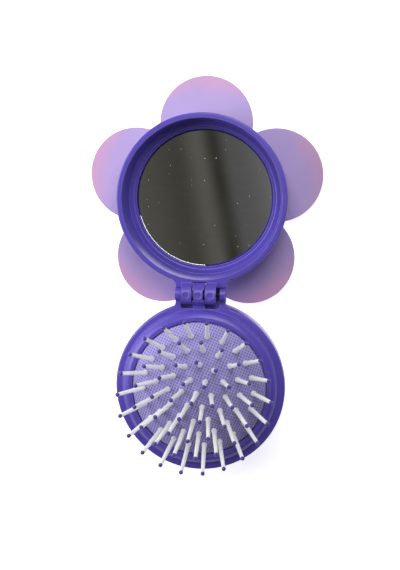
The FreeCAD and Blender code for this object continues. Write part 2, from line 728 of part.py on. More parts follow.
def make_lid_shell():
    """Moulded lid: drafted recess with a stepped ledge round the mirror, neck and two hinge knuckles."""
    body = new_body("lid_shell")
    sketch = new_sketch(body, "section", "XZ_Plane")
    draw_outline(sketch, [
        (LID, "-lid_edge", "lid_edge", "left"),
        (f"{LID} - lid_edge", "0"),
        (LID_MOUTH, "0"),
        (f"{LID_MOUTH} - lid_draft", "-lid_recess"),
        (LID_STEP, "-lid_recess"),
        (LID_STEP, f"-{STEP_DEPTH}"),
        (MIRROR_POCKET, f"-{STEP_DEPTH}"),
        (MIRROR_POCKET, f"-{LID_FLOOR}"),
        ("0", f"-{LID_FLOOR}"),
        ("0", f"-{LID_BACK}"),
        (f"{LID_FOOT} - lid_shoulder", f"-{LID_BACK}", "lid_round", "left"),
        (LID_FOOT, "-lid_straight"),
    ])
    revolve(body, "bowl", sketch)

    neck = new_sketch(body, "neck_plan", "XY_Plane")
    root = f"({LID} - neck_root)"
    draw_outline(neck, neck_outline(LID, root, f"{HINGE} - neck_end"))
    extrude(body, "neck", neck, "neck_thickness", backwards=True)

    notch_end = f"{HINGE} - {ramp_foot('knuckle_radius', 'knuckle_ramp')} - notch_gap"
    notch = new_sketch(body, "notch_plan", "XY_Plane", "overrun")
    draw_outline(notch, [
        (f"knuckle_shift - {KNUCKLE_NEAR}", notch_end),
        (f"knuckle_shift + {KNUCKLE_NEAR}", notch_end),
        (f"knuckle_shift + {KNUCKLE_NEAR}", HINGE),
        (f"knuckle_shift - {KNUCKLE_NEAR}", HINGE),
    ])
    extrude(body, "notch", notch, "neck_thickness + 2 * overrun", "PartDesign::Pocket")

    left = f"(knuckle_shift + {KNUCKLE_NEAR})"
    right = f"(knuckle_shift - {KNUCKLE_NEAR})"
    sides = (
        ("left", left, f"{left} - boss_height"),
        ("right", f"{right} - knuckle_width", right),
    )
    for name, start, boss_start in sides:
        knuckle = new_sketch(body, f"{name}_knuckle_side", "YZ_Plane", start)
        draw_outline(knuckle, barrel_outline("knuckle_radius", "knuckle_ramp", root))
        extrude(body, f"{name}_knuckle", knuckle, "knuckle_width")
        boss = new_sketch(body, f"{name}_boss_side", "YZ_Plane", boss_start)
        draw_circle(boss, HINGE, AXIS_HEIGHT, "boss_radius")
        extrude(body, f"{name}_boss", boss, "boss_height")
    cut_dimples(body, [f"{left} + knuckle_width / 2", f"{right} - knuckle_width / 2"])
    cut_pin_bore(body)
    return body


def make_mirror_glass():
    """Round glass with a bevelled edge, silvered behind."""
    body = new_body("mirror_glass")
    sketch = new_sketch(body, "section", "XZ_Plane")
    draw_outline(sketch, [
        ("0", f"-{MIRROR_FACE} - mirror_thickness"),
        (MIRROR, f"-{MIRROR_FACE} - mirror_thickness"),
        (MIRROR, f"-{MIRROR_FACE} - mirror_bevel"),
        (f"{MIRROR} - mirror_bevel", f"-{MIRROR_FACE}"),
        ("0", f"-{MIRROR_FACE}"),
    ])
    revolve(body, "glass", sketch)
    return body


def make_mirror_tape():
    """Disc of double-sided tape between the glass and the lid's floor."""
    body = new_body("mirror_tape")
    sketch = new_sketch(body, "section", "XZ_Plane")
    draw_outline(sketch, [
        ("0", f"-{LID_FLOOR} + seat_gap"),
        (TAPE, f"-{LID_FLOOR} + seat_gap"),
        (TAPE, f"-{LID_FLOOR} + seat_gap + tape_thickness"),
        ("0", f"-{LID_FLOOR} + seat_gap + tape_thickness"),
    ])
    revolve(body, "tape", sketch)
    return body


def blossom_outline(reach, cleft):
    """Plan of a blossom: every petal is a round arc from cleft to cleft through its tip."""
    half = "(180 deg / petal_count)"
    centre = f"(({reach}^2 - {cleft}^2) / (2 * ({reach} - {cleft} * cos({half}))))"
    petal = f"({reach} - {centre})"
    corners = []
    for number in range(int(value("petal_count"))):
        for distance, step in ((cleft, 2 * number - 1), (reach, 2 * number)):
            bearing = f"(1 deg * petal_bearing + {step} * {half})"
            corners.append((f"{distance} * cos({bearing})", f"{distance} * sin({bearing})", petal, "left"))
    return corners


def make_blossom(label, reach, cleft, thickness, edge, back):
    """A flat blossom-shaped plaque whose edge is rounded on the side away from the lid."""
    body = new_body(label)
    plan = new_sketch(body, "plan", "XY_Plane", f"-{back}")
    draw_outline(plan, blossom_outline(reach, cleft))
    plate = extrude(body, "plate", plan, thickness)
    doc.recompute()
    low = plate.Shape.BoundBox.ZMin
    names = [f"Edge{number}" for number, line in enumerate(plate.Shape.Edges, start=1)
             if abs(line.BoundBox.ZMax - low) < line.Length * FLAT_SHARE]
    rounding = body.newObject("PartDesign::Fillet", f"{label}_rounding")
    rounding.Base = (plate, names)
    bind(rounding, "Radius", edge)
    body.Tip = rounding
    return body


def make_blossom_eye():
    """Round middle of the blossom, its outer edge rounded."""
    body = new_body("ornament_eye")
    sketch = new_sketch(body, "section", "XZ_Plane")
    flat = "(blossom_eye_radius - blossom_eye_edge)"
    draw_outline(sketch, [
        ("0", f"-{BLOSSOM_BACK}"),
        (flat, f"-{BLOSSOM_BACK}", "blossom_eye_edge", "left"),
        ("blossom_eye_radius", f"-{BLOSSOM_BACK} + blossom_eye_edge"),
        ("blossom_eye_radius", f"-{PETALS_BACK}"),
        ("0", f"-{PETALS_BACK}"),
    ])
    revolve(body, "disc", sketch)
    return body


def make_hinge_pin():
    """Steel pin from cheek to cheek."""
    pin = doc.addObject("Part::Cylinder", "hinge_pin")
    bind(pin, "Radius", "pin_radius")
    bind(pin, "Height", f"2 * ({NECK} - pin_inset)")
    return pin


base_pieces = [make_base_ring(), make_back_cover(), make_clamp_ring(), make_pad()]
base_pieces += [make_push_plate(), make_thumb_button()]
for row in ROWS:
    base_pieces += [make_bristles(*row), make_bristle_tips(*row)]
lid_pieces = [make_lid_shell(), make_mirror_glass(), make_mirror_tape()]
lid_pieces.append(make_blossom(
    "ornament_plaque", PETAL_REACH, PETAL_CLEFT, "plaque_thickness", "plaque_edge", PLAQUE_BACK,
))
lid_pieces.append(make_blossom(
    "ornament_petals", "inner_petal_reach", "inner_cleft_radius",
    "inner_petal_thickness", "inner_petal_edge", PETALS_BACK,
))
lid_pieces.append(make_blossom_eye())
pin = make_hinge_pin()

# The whole stands on the floor, centred under its bounding box
half_length = f"((ring_radius + 2 * {HINGE} + {PETAL_REACH}) / 2)"
base_place = f"(ring_radius - {half_length})"
for piece in base_pieces:
    bind(piece, ".Placement.Base.y", base_place)
    bind(piece, ".Placement.Base.z", BASE_DEPTH)
for piece in lid_pieces:
    piece.Placement.Rotation = FreeCAD.Rotation(FreeCAD.Vector(0, 0, 1), 180)
    bind(piece, ".Placement.Base.y", f"{base_place} + 2 * {HINGE}")
    bind(piece, ".Placement.Base.z", BASE_DEPTH)
pin.Placement.Rotation = FreeCAD.Rotation(FreeCAD.Vector(0, 1, 0), 90)
bind(pin, ".Placement.Base.x", f"pin_inset - {NECK}")
bind(pin, ".Placement.Base.y", f"{base_place} + {HINGE}")
bind(pin, ".Placement.Base.z", f"{BASE_DEPTH} + {AXIS_HEIGHT}")
doc.recompute()

for item in doc.Objects:
    if "Invalid" in item.State or "Error" in item.State:
        raise RuntimeError(f"{item.Label} did not recompute")
for piece in base_pieces + lid_pieces + [pin]:
    if piece.Shape.isNull() or not piece.Shape.isValid():
        raise RuntimeError(f"{piece.Label} has no valid shape")
    piece.Shape.exportStep(f"parts/{piece.Label}.step")
    print(piece.Label, len(piece.Shape.Solids), round(piece.Shape.Volume, 1))
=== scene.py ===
import math
import bpy
import numpy as np
from mathutils import Matrix, Vector


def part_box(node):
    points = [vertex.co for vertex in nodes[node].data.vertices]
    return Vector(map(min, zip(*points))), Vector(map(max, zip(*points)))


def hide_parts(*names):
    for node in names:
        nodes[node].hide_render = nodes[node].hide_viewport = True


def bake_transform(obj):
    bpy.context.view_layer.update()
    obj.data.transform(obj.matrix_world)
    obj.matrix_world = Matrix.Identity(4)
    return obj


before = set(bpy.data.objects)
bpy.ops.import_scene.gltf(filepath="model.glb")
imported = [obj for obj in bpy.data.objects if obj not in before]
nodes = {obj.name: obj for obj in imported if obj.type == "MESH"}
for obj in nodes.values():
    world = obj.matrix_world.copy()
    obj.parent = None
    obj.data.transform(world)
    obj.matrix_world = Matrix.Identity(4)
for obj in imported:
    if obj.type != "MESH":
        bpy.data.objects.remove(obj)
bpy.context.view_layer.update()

# Base ring: the front of the brush half, with its flange, raised collar, hinge cheeks and knuckle.
# Injection-moulded ABS from a finely sparked tool; the back cover's spigot presses into it.
MM = 0.001
ABS_IOR = 1.54
SPARK_GRIT = 0.45 * MM
SPARK_DEPTH = 0.03 * MM
PURPLE_FLOW = 14 * MM
PURPLE_EDGE = 0.35 * MM
PURPLE_DARK = "#5646B4"
PURPLE_LIGHT = "#5E4EBD"
# The lighter colour of the painted highlight along the edges.
PURPLE_EDGE_HIGHLIGHT = "#A197E4"


def linear(colour):
    """An sRGB hex colour as linear RGBA: c / 12.92 up to 0.04045, else ((c + 0.055) / 1.055) ^ 2.4."""
    c = np.array([int(colour[k:k + 2], 16) for k in (1, 3, 5)]) / 255
    c = np.where(c <= 0.04045, c / 12.92, ((c + 0.055) / 1.055) ** 2.4)
    return (*c.tolist(), 1.0)


def add(tree, kind, values=None, links=None, **settings):
    """Adds a node: settings are its own attributes, values its inputs' numbers, links its inputs'
    sources. In a colour Mix, input 0 is the share, 6 and 7 are the colours, and output 2 the result."""
    node = tree.nodes.new(kind)
    for name, setting in settings.items():
        setattr(node, name, setting)
    for socket, value in (values or {}).items():
        node.inputs[socket].default_value = value
    for socket, source in (links or {}).items():
        tree.links.new(source, node.inputs[socket])
    return node


def new_material(name):
    """An empty node material. Returns it, its tree, its output node and the Object coordinate, which
    is the place on the piece in metres."""
    material = bpy.data.materials.new(name)
    material.use_nodes = True
    tree = material.node_tree
    tree.nodes.clear()
    out = add(tree, "ShaderNodeOutputMaterial")
    return material, tree, out, add(tree, "ShaderNodeTexCoord").outputs["Object"]


def dress(piece, material):
    """The piece is made of this material alone."""
    piece.data.materials.clear()
    piece.data.materials.append(material)


# Satin ABS: an even purple with a soft wide highlight, and a painted highlight that makes its moulded
# edges a shade lighter.
# The tool's grit is drawn coarser than it is, so that it shows.
purple_abs, tree, out, place = new_material("purple_satin_abs")
grit = add(tree, "ShaderNodeTexNoise", {"Scale": 1 / SPARK_GRIT, "Detail": 2.0}, {"Vector": place})
flow = add(tree, "ShaderNodeTexNoise", {"Scale": 1 / PURPLE_FLOW, "Detail": 3.0}, {"Vector": place})
edge = add(tree, "ShaderNodeBevel", {"Radius": PURPLE_EDGE}, samples=8)
face = add(tree, "ShaderNodeNewGeometry")
turn = add(tree, "ShaderNodeVectorMath", links={0: edge.outputs["Normal"], 1: face.outputs["Normal"]},
           operation="DOT_PRODUCT")
# Painted highlight: the colour turns lighter wherever the bevel's normal leans away from the face's,
# along every edge.
painted_edge_highlight = add(tree, "ShaderNodeMapRange", {"From Min": 0.995, "From Max": 0.85, "To Max": 0.7},
           {"Value": turn.outputs["Value"]})
body = add(tree, "ShaderNodeMix", {6: linear(PURPLE_DARK), 7: linear(PURPLE_LIGHT)},
           {0: flow.outputs["Fac"]}, data_type="RGBA")
tint = add(tree, "ShaderNodeMix", {7: linear(PURPLE_EDGE_HIGHLIGHT)},
           {0: painted_edge_highlight.outputs["Result"], 6: body.outputs[2]}, data_type="RGBA")
gloss = add(tree, "ShaderNodeMapRange", {"To Min": 0.29, "To Max": 0.39}, {"Value": grit.outputs["Fac"]})
relief = add(tree, "ShaderNodeBump", {"Strength": 0.2, "Distance": SPARK_DEPTH},
             {"Height": grit.outputs["Fac"], "Normal": edge.outputs["Normal"]})
shader = add(tree, "ShaderNodeBsdfPrincipled", {"IOR": ABS_IOR},
             {"Base Color": tint.outputs[2], "Roughness": gloss.outputs["Result"],
              "Normal": relief.outputs["Normal"]})
tree.links.new(shader.outputs[0], out.inputs["Surface"])
dress(nodes["base_ring"], purple_abs)

# Back cover: the bowl that closes the brush half from behind, with a round opening for the thumb.
# Injection-moulded ABS in a paler lilac; its spigot is pressed into the base ring.
LILAC_FLOW = 12 * MM
LILAC_EDGE = 0.25 * MM
LILAC_DARK = "#A795D8"
LILAC_LIGHT = "#B3A3E0"

# Satin ABS: an even pale lilac, a little duller than the purple, with a soft wide highlight.
lilac_abs, tree, out, place = new_material("lilac_satin_abs")
grit = add(tree, "ShaderNodeTexNoise", {"Scale": 1 / SPARK_GRIT, "Detail": 2.0}, {"Vector": place})
flow = add(tree, "ShaderNodeTexNoise", {"Scale": 1 / LILAC_FLOW, "Detail": 3.0}, {"Vector": place})
edge = add(tree, "ShaderNodeBevel", {"Radius": LILAC_EDGE}, samples=6)
tint = add(tree, "ShaderNodeMix", {6: linear(LILAC_DARK), 7: linear(LILAC_LIGHT)},
           {0: flow.outputs["Fac"]}, data_type="RGBA")
gloss = add(tree, "ShaderNodeMapRange", {"To Min": 0.34, "To Max": 0.46}, {"Value": grit.outputs["Fac"]})
relief = add(tree, "ShaderNodeBump", {"Strength": 0.2, "Distance": SPARK_DEPTH},
             {"Height": grit.outputs["Fac"], "Normal": edge.outputs["Normal"]})
shader = add(tree, "ShaderNodeBsdfPrincipled", {"IOR": ABS_IOR},
             {"Base Color": tint.outputs[2], "Roughness": gloss.outputs["Result"],
              "Normal": relief.outputs["Normal"]})
tree.links.new(shader.outputs[0], out.inputs["Surface"])
dress(nodes["base_back_cover"], lilac_abs)

# Brush pad: the domed skin that holds the bristles and rolls inside out when it is pressed down.
# Moulded in lilac rubber with a grid of small pits; its flange is clamped under the collar.
PAD_RADIUS = 26.65 * MM
PAD_RISE = 9.0 * MM
PAD_WALL = 1.14 * MM
PAD_RIM_DROP = 1.55 * MM
PAD_EDGE = 0.5 * MM
PAD_EDGE_STEPS = 7
PAD_GROOVE = 0.4 * MM
PAD_FLANGE = 29.55 * MM
PAD_UNDER_RINGS = 20
PAD_UNDER_LAST = 0.01
PIT_PITCH = 1.13 * MM
PIT_HALF_SHARES = (0.29, 0.33)
PIT_LIP_SHARE = 1.15
PIT_FLOOR_SHARE = 0.8
PIT_DEPTH = 0.2 * MM
PIT_TURN = math.radians(21.7)
RIM_SLACK = PIT_PITCH / 20
RUBBER_MOTTLE = 3 * MM
RUBBER_DARK = "#A89EDF"
RUBBER_LIGHT = "#B4ABE7"
RUBBER_PIT = "#8076B8"


def pitted_cap(centre, top, dome, reach):
    """The pad's top, a part of a sphere of radius dome with a grid of pits. The grid is laid on the
    sphere: its point (a, b), s from the middle, comes to r = dome sin(s / dome) from the axis and to
    z = top - dome + sqrt(dome^2 - r^2), and PIT_DEPTH lower on a pit's floor. Along each axis, turned
    by -PIT_TURN, cell n has its lines at n + 0.5 +- PIT_LIP_SHARE h and n + 0.5 +- PIT_FLOOR_SHARE h,
    where h is half a pit. Squares within reach of the axis are kept. Returns points, faces and the
    outline in order of angle."""
    turn = np.array([(math.cos(PIT_TURN), -math.sin(PIT_TURN)), (math.sin(PIT_TURN), math.cos(PIT_TURN))])
    most = math.ceil(dome * math.asin(reach / dome) / PIT_PITCH) + 1
    cells = np.arange(-most, most)
    offsets = np.array([-PIT_LIP_SHARE, -PIT_FLOOR_SHARE, PIT_FLOOR_SHARE, PIT_LIP_SHARE])
    u, v = ((cells[:, None] + 0.5 + offsets * h).ravel() for h in PIT_HALF_SHARES)
    floor = np.tile([0, 1, 1, 0], len(cells))
    laid = np.stack(np.meshgrid(u, v, indexing="ij"), -1) * PIT_PITCH @ turn
    s = np.hypot(laid[..., 0], laid[..., 1])
    r = dome * np.sin(s / dome)
    z = top - dome + np.sqrt(dome ** 2 - r ** 2) - PIT_DEPTH * np.outer(floor, floor)
    points = np.dstack([laid * (r / s)[..., None] + centre, z]).reshape(-1, 3)
    inside = r < reach - RIM_SLACK
    i, j = np.nonzero(inside[:-1, :-1] & inside[1:, :-1] & inside[1:, 1:] & inside[:-1, 1:])
    corner = i * len(v) + j
    faces = np.stack([corner, corner + len(v), corner + len(v) + 1, corner + 1], -1)
    used, faces = np.unique(faces, return_inverse=True)
    faces = faces.reshape(-1, 4)
    points = points[used]
    sides = np.sort(np.vstack([faces[:, [k, (k + 1) % 4]] for k in range(4)]), axis=1)
    sides, count = np.unique(sides, axis=0, return_counts=True)
    outline = np.unique(sides[count == 1])
    angle = np.arctan2(points[outline, 1] - centre[1], points[outline, 0] - centre[0])
    return points, faces.tolist(), outline[np.argsort(angle)]


def skirted(points, faces, outline, centre, profile):
    """Goes on from the outline in rings and ends on the axis: at an outline point's angle a, the profile
    point (r, z) is (centre x + r cos a, centre y + r sin a, z). Returns all points and faces."""
    a = np.arctan2(points[outline, 1] - centre[1], points[outline, 0] - centre[0])
    r, z = np.asarray(profile, float).T
    steps = len(outline)
    rings = np.stack([centre[0] + np.outer(r, np.cos(a)), centre[1] + np.outer(r, np.sin(a)),
                      np.repeat(z[:, None], steps, 1)], -1).reshape(-1, 3)
    rows = np.vstack([outline, len(points) + np.arange(len(rings)).reshape(-1, steps)])
    after = np.roll(rows, -1, axis=1)
    quads = np.stack([rows[:-1], rows[1:], after[1:], after[:-1]], -1).reshape(-1, 4)
    tip = len(points) + len(rings)
    fan = np.stack([rows[-1], np.full(steps, tip), after[-1]], -1)
    points = np.vstack([points, rings, [(*centre, z[-1])]])
    return points, faces + quads.tolist() + fan.tolist()


def new_piece(name, points, faces):
    """A smooth mesh object at the origin, its place in its vertices."""
    mesh = bpy.data.meshes.new(name)
    mesh.from_pydata(points, [], faces)
    mesh.update()
    mesh.shade_smooth()
    piece = bpy.data.objects.new(name, mesh)
    bpy.context.scene.collection.objects.link(piece)
    return piece


# The pad's section, from its top down the rounded edge and wall, out along the flange and back
# under the dome to the axis. The under side is a sphere that is smaller by the wall.
low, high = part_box("brush_pad")
brush_centre = ((low.x + high.x) / 2, (low.y + high.y) / 2)
pad_rim = high.z - PAD_RISE
dome = (PAD_RADIUS ** 2 + PAD_RISE ** 2) / (2 * PAD_RISE)
inner_dome = dome - PAD_WALL
wall_reach = PAD_RADIUS - PAD_GROOVE
cap_reach = wall_reach - PAD_EDGE
pad_foot = pad_rim - PAD_RIM_DROP
edge_top = high.z - dome + math.sqrt(dome ** 2 - cap_reach ** 2)
bend = np.radians(np.linspace(90, 0, PAD_EDGE_STEPS))
rounding = np.stack([cap_reach + PAD_EDGE * np.cos(bend), edge_top - PAD_EDGE * (1 - np.sin(bend))], -1)
flange = [(wall_reach, pad_foot), (PAD_FLANGE, pad_foot), (PAD_FLANGE, pad_foot - PAD_WALL),
          (wall_reach - PAD_WALL, pad_foot - PAD_WALL)]
lean = np.linspace(math.asin((wall_reach - PAD_WALL) / inner_dome), PAD_UNDER_LAST, PAD_UNDER_RINGS)
under = np.stack([inner_dome * np.sin(lean), high.z - dome + inner_dome * np.cos(lean)], -1)
cap = pitted_cap(brush_centre, high.z, dome, cap_reach)
pad = new_piece("lilac_rubber_pad", *skirted(*cap, brush_centre, np.vstack([rounding, flange, under])))

# Matt rubber: a soft mottled lilac, with the pits darker than the lattice between them.
# The nodes lay the same grid on the sphere as the mesh: arcsine(r / dome) is the way from the middle.
lilac_rubber, tree, out, place = new_material("lilac_pitted_rubber")
offset = add(tree, "ShaderNodeVectorMath", {1: (*brush_centre, 0)}, {0: place}, operation="SUBTRACT")
plan = add(tree, "ShaderNodeVectorMath", {1: (1 / dome, 1 / dome, 0)}, {0: offset.outputs["Vector"]},
           operation="MULTIPLY")
reach = add(tree, "ShaderNodeVectorMath", links={0: plan.outputs["Vector"]}, operation="LENGTH")
arc = add(tree, "ShaderNodeMath", links={0: reach.outputs["Value"]}, operation="ARCSINE")
stretch = add(tree, "ShaderNodeMath", links={0: arc.outputs["Value"], 1: reach.outputs["Value"]},
              operation="DIVIDE")
laid = add(tree, "ShaderNodeVectorMath",
           links={0: plan.outputs["Vector"], "Scale": stretch.outputs["Value"]}, operation="SCALE")
grid = add(tree, "ShaderNodeMapping",
           {"Rotation": (0, 0, PIT_TURN), "Scale": (dome / PIT_PITCH, dome / PIT_PITCH, 0)},
           {"Vector": laid.outputs["Vector"]}, vector_type="POINT")
cell = add(tree, "ShaderNodeVectorMath", links={0: grid.outputs["Vector"]}, operation="FRACTION")
middle = add(tree, "ShaderNodeVectorMath", {1: (0.5, 0.5, 0)}, {0: cell.outputs["Vector"]},
             operation="SUBTRACT")
folded = add(tree, "ShaderNodeVectorMath", links={0: middle.outputs["Vector"]}, operation="ABSOLUTE")
scaled = add(tree, "ShaderNodeVectorMath", {1: (*PIT_HALF_SHARES, 1.0)}, {0: folded.outputs["Vector"]},
             operation="DIVIDE")
sides = add(tree, "ShaderNodeSeparateXYZ", links={0: scaled.outputs["Vector"]})
away = add(tree, "ShaderNodeMath", links={0: sides.outputs["X"], 1: sides.outputs["Y"]},
           operation="MAXIMUM")
pit = add(tree, "ShaderNodeMapRange", {"From Min": PIT_LIP_SHARE, "From Max": PIT_FLOOR_SHARE},
          {"Value": away.outputs["Value"]}, interpolation_type="SMOOTHSTEP")
mottle = add(tree, "ShaderNodeTexNoise", {"Scale": 1 / RUBBER_MOTTLE, "Detail": 3.0}, {"Vector": place})
ground = add(tree, "ShaderNodeMix", {6: linear(RUBBER_DARK), 7: linear(RUBBER_LIGHT)},
             {0: mottle.outputs["Fac"]}, data_type="RGBA")
tint = add(tree, "ShaderNodeMix", {7: linear(RUBBER_PIT)},
           {0: pit.outputs["Result"], 6: ground.outputs[2]}, data_type="RGBA")
gloss = add(tree, "ShaderNodeMapRange", {"To Min": 0.56, "To Max": 0.7}, {"Value": mottle.outputs["Fac"]})
shader = add(tree, "ShaderNodeBsdfPrincipled", {"IOR": 1.5},
             {"Base Color": tint.outputs[2], "Roughness": gloss.outputs["Result"]})
tree.links.new(shader.outputs[0], out.inputs["Surface"])
dress(pad, lilac_rubber)
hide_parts("brush_pad")
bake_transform(pad)

# Clamp ring: the flat ring inside the base that holds the pad's flange up against the collar.
# Moulded in the purple ABS and pressed into the base ring's skirt.
dress(nodes["pad_clamp_ring"], purple_abs)

# Push plate and thumb button: the stiff plate under the pad's middle and the dished button in its stem.
# Moulded ABS; the button's peg presses into the stem, and the thumb reaches it through the back.
dress(nodes["push_plate"], lilac_abs)
dress(nodes["thumb_button"], purple_abs)

# Bristles: tapered pins with a round foot on the pad and a flat head under it, one in the middle and
# the rest in four rings. Moulded in white nylon, pulled through the pad's holes from behind.
NYLON_IOR = 1.53
NYLON_CLOUD = 4 * MM
NYLON_DEPTH = 1.5 * MM
NYLON_DARK = "#EFEFED"
NYLON_LIGHT = "#F8F8F7"

# White nylon: light enters it and comes out again nearby, so its shadows are soft and pale.
white_nylon, tree, out, place = new_material("white_moulded_nylon")
cloud = add(tree, "ShaderNodeTexNoise", {"Scale": 1 / NYLON_CLOUD, "Detail": 2.0}, {"Vector": place})
tint = add(tree, "ShaderNodeMix", {6: linear(NYLON_DARK), 7: linear(NYLON_LIGHT)},
           {0: cloud.outputs["Fac"]}, data_type="RGBA")
gloss = add(tree, "ShaderNodeMapRange", {"To Min": 0.34, "To Max": 0.5}, {"Value": cloud.outputs["Fac"]})
shader = add(tree, "ShaderNodeBsdfPrincipled",
             {"IOR": NYLON_IOR, "Subsurface Weight": 0.8, "Subsurface Radius": (1, 1, 1),
              "Subsurface Scale": NYLON_DEPTH},
             {"Base Color": tint.outputs[2], "Roughness": gloss.outputs["Result"]})
tree.links.new(shader.outputs[0], out.inputs["Surface"])
rows = ("centre", "row_1", "row_2", "row_3", "row_4")
for row in rows:
    dress(nodes[f"bristles_{row}"], white_nylon)

# Ball tips: a bead moulded round the end of every bristle, so that it glides on the scalp.
# Purple dyed nylon, smooth and a little glossy, with a small sharp highlight.
BEAD_CLOUD = 1.5 * MM
BEAD_DARK = "#4A3590"
BEAD_LIGHT = "#5B45A6"
purple_nylon, tree, out, place = new_material("purple_dyed_nylon")
cloud = add(tree, "ShaderNodeTexNoise", {"Scale": 1 / BEAD_CLOUD, "Detail": 2.0}, {"Vector": place})
tint = add(tree, "ShaderNodeMix", {6: linear(BEAD_DARK), 7: linear(BEAD_LIGHT)},
           {0: cloud.outputs["Fac"]}, data_type="RGBA")
shader = add(tree, "ShaderNodeBsdfPrincipled", {"IOR": NYLON_IOR, "Roughness": 0.24},
             {"Base Color": tint.outputs[2]})
tree.links.new(shader.outputs[0], out.inputs["Surface"])
for row in rows:
    dress(nodes[f"bristle_tips_{row}"], purple_nylon)

# Lid shell: the mirror half's bowl with its stepped recess, neck and two hinge knuckles.
# Moulded in the same purple ABS as the base ring.
dress(nodes["lid_shell"], purple_abs)

# Hinge pin: the straight wire that the knuckles turn on, pressed into the base ring's cheeks.
# Drawn steel wire with fine lines along it, coloured near black as painted shade, so that the gaps beside
# the knuckles, where it shows, stay dark.
DRAWN_LINE = (6 * MM, 0.12 * MM, 0.12 * MM)
shade_dark_steel, tree, out, place = new_material("shade_dark_steel_wire")
lines = add(tree, "ShaderNodeMapping", {"Scale": [1 / size for size in DRAWN_LINE]}, {"Vector": place})
drawn = add(tree, "ShaderNodeTexNoise", {"Scale": 1.0, "Detail": 2.0},
            {"Vector": lines.outputs["Vector"]})
gloss = add(tree, "ShaderNodeMapRange", {"To Min": 0.4, "To Max": 0.6}, {"Value": drawn.outputs["Fac"]})
# Painted shade: the near-black colour stands in for the shade in the hinge's gaps.
shader = add(tree, "ShaderNodeBsdfPrincipled", {"Base Color": linear("#2C2A33"), "Metallic": 1.0},
             {"Roughness": gloss.outputs["Result"]})
tree.links.new(shader.outputs[0], out.inputs["Surface"])
dress(nodes["hinge_pin"], shade_dark_steel)

# Mirror tape: the disc of double-sided tape on the lid's floor that holds the glass.
# Closed-cell polyethylene foam, off-white and matt with a fine cell texture.
FOAM_CELL = 0.3 * MM
FOAM_DEPTH = 0.05 * MM
foam_tape, tree, out, place = new_material("white_foam_tape")
cells = add(tree, "ShaderNodeTexVoronoi", {"Scale": 1 / FOAM_CELL}, {"Vector": place})
tint = add(tree, "ShaderNodeMix", {6: linear("#D9D8D2"), 7: linear("#EDECE7")},
           {0: cells.outputs["Distance"]}, data_type="RGBA")
relief = add(tree, "ShaderNodeBump", {"Strength": 0.4, "Distance": FOAM_DEPTH},
             {"Height": cells.outputs["Distance"]})
shader = add(tree, "ShaderNodeBsdfPrincipled", {"IOR": 1.5, "Roughness": 0.85},
             {"Base Color": tint.outputs[2], "Normal": relief.outputs["Normal"]})
tree.links.new(shader.outputs[0], out.inputs["Surface"])
dress(nodes["mirror_tape"], foam_tape)

# Mirror: a round of float glass, silvered behind, with a ground edge, stuck to the tape.
# It reflects sharply; dust and wiping marks lie on it, and a painted highlight makes its edge white at
# the lower left.
SPECK_CELL = 4.5 * MM
SPECK_RADIUS = 0.216 * MM
SPECK_SHARE = 0.45
WIPE_LENGTH = 9 * MM
WIPE_WIDTH = 1.6 * MM
WIPE_TURN = 0.2
SMEAR = 18 * MM
GROUND_EDGE = 0.22 * MM
EDGE_CHIP = 1.1 * MM
# Painted highlight on the ground edge: the bearing where it is whitest, the fixed normal it is shaded
# with, and the shares of the radius over which it fades in.
PAINTED_GLINT_BEARING = math.radians(232)
PAINTED_GLINT_NORMAL = (0.085, 0.31, 0.947)
PAINTED_GLINT_FROM_SHARE = 0.66
PAINTED_GLINT_FULL_SHARE = 0.9
low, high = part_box("mirror_glass")
mirror_radius = (high.x - low.x) / 2
lid_centre = ((low.x + high.x) / 2, (low.y + high.y) / 2, 0)
silvered_glass, tree, out, place = new_material("silvered_float_glass")
offset = add(tree, "ShaderNodeVectorMath", {1: lid_centre}, {0: place}, operation="SUBTRACT")
plan = add(tree, "ShaderNodeVectorMath", {1: (1, 1, 0)}, {0: offset.outputs["Vector"]},
           operation="MULTIPLY")

# Dust and wiping marks: they dull the silver, a speck more than a mark.
spots = add(tree, "ShaderNodeTexVoronoi", {"Scale": 1 / SPECK_CELL}, {"Vector": place},
            voronoi_dimensions="2D")
chance = add(tree, "ShaderNodeSeparateColor", links={"Color": spots.outputs["Color"]})
size = add(tree, "ShaderNodeMapRange",
           {"From Min": 1 - SPECK_SHARE, "From Max": 1.0, "To Max": SPECK_RADIUS / SPECK_CELL},
           {"Value": chance.outputs["Red"]})
speck = add(tree, "ShaderNodeMath", links={0: spots.outputs["Distance"], 1: size.outputs["Result"]},
            operation="LESS_THAN")
dusty = add(tree, "ShaderNodeMath", {1: 0.42}, {0: speck.outputs["Value"]}, operation="MULTIPLY")
streaks = add(tree, "ShaderNodeMapping",
              {"Rotation": (0, 0, WIPE_TURN), "Scale": (1 / WIPE_LENGTH, 1 / WIPE_WIDTH, 1.0)},
              {"Vector": plan.outputs["Vector"]})
wiped = add(tree, "ShaderNodeTexNoise", {"Scale": 1.0, "Detail": 2.0},
            {"Vector": streaks.outputs["Vector"]})
film = add(tree, "ShaderNodeMapRange", {"From Min": 0.5, "From Max": 0.8, "To Max": 0.013},
           {"Value": wiped.outputs["Fac"]})
dull = add(tree, "ShaderNodeMath", links={0: dusty.outputs["Value"], 1: film.outputs["Result"]},
           operation="MAXIMUM")
clean = add(tree, "ShaderNodeMath", {0: 1.0}, {1: dull.outputs["Value"]}, operation="SUBTRACT")
smear = add(tree, "ShaderNodeTexNoise", {"Scale": 1 / SMEAR, "Detail": 4.0}, {"Vector": place})
gloss = add(tree, "ShaderNodeMapRange",
            {"From Min": 0.35, "From Max": 0.75, "To Min": 0.02, "To Max": 0.05},
            {"Value": smear.outputs["Fac"]})
rough = add(tree, "ShaderNodeMath", {1: 0.5}, {0: dusty.outputs["Value"], 2: gloss.outputs["Result"]},
            operation="MULTIPLY_ADD")
silver = add(tree, "ShaderNodeBsdfPrincipled", {"Base Color": linear("#E4E5E3")},
             {"Metallic": clean.outputs["Value"], "Roughness": rough.outputs["Value"]})
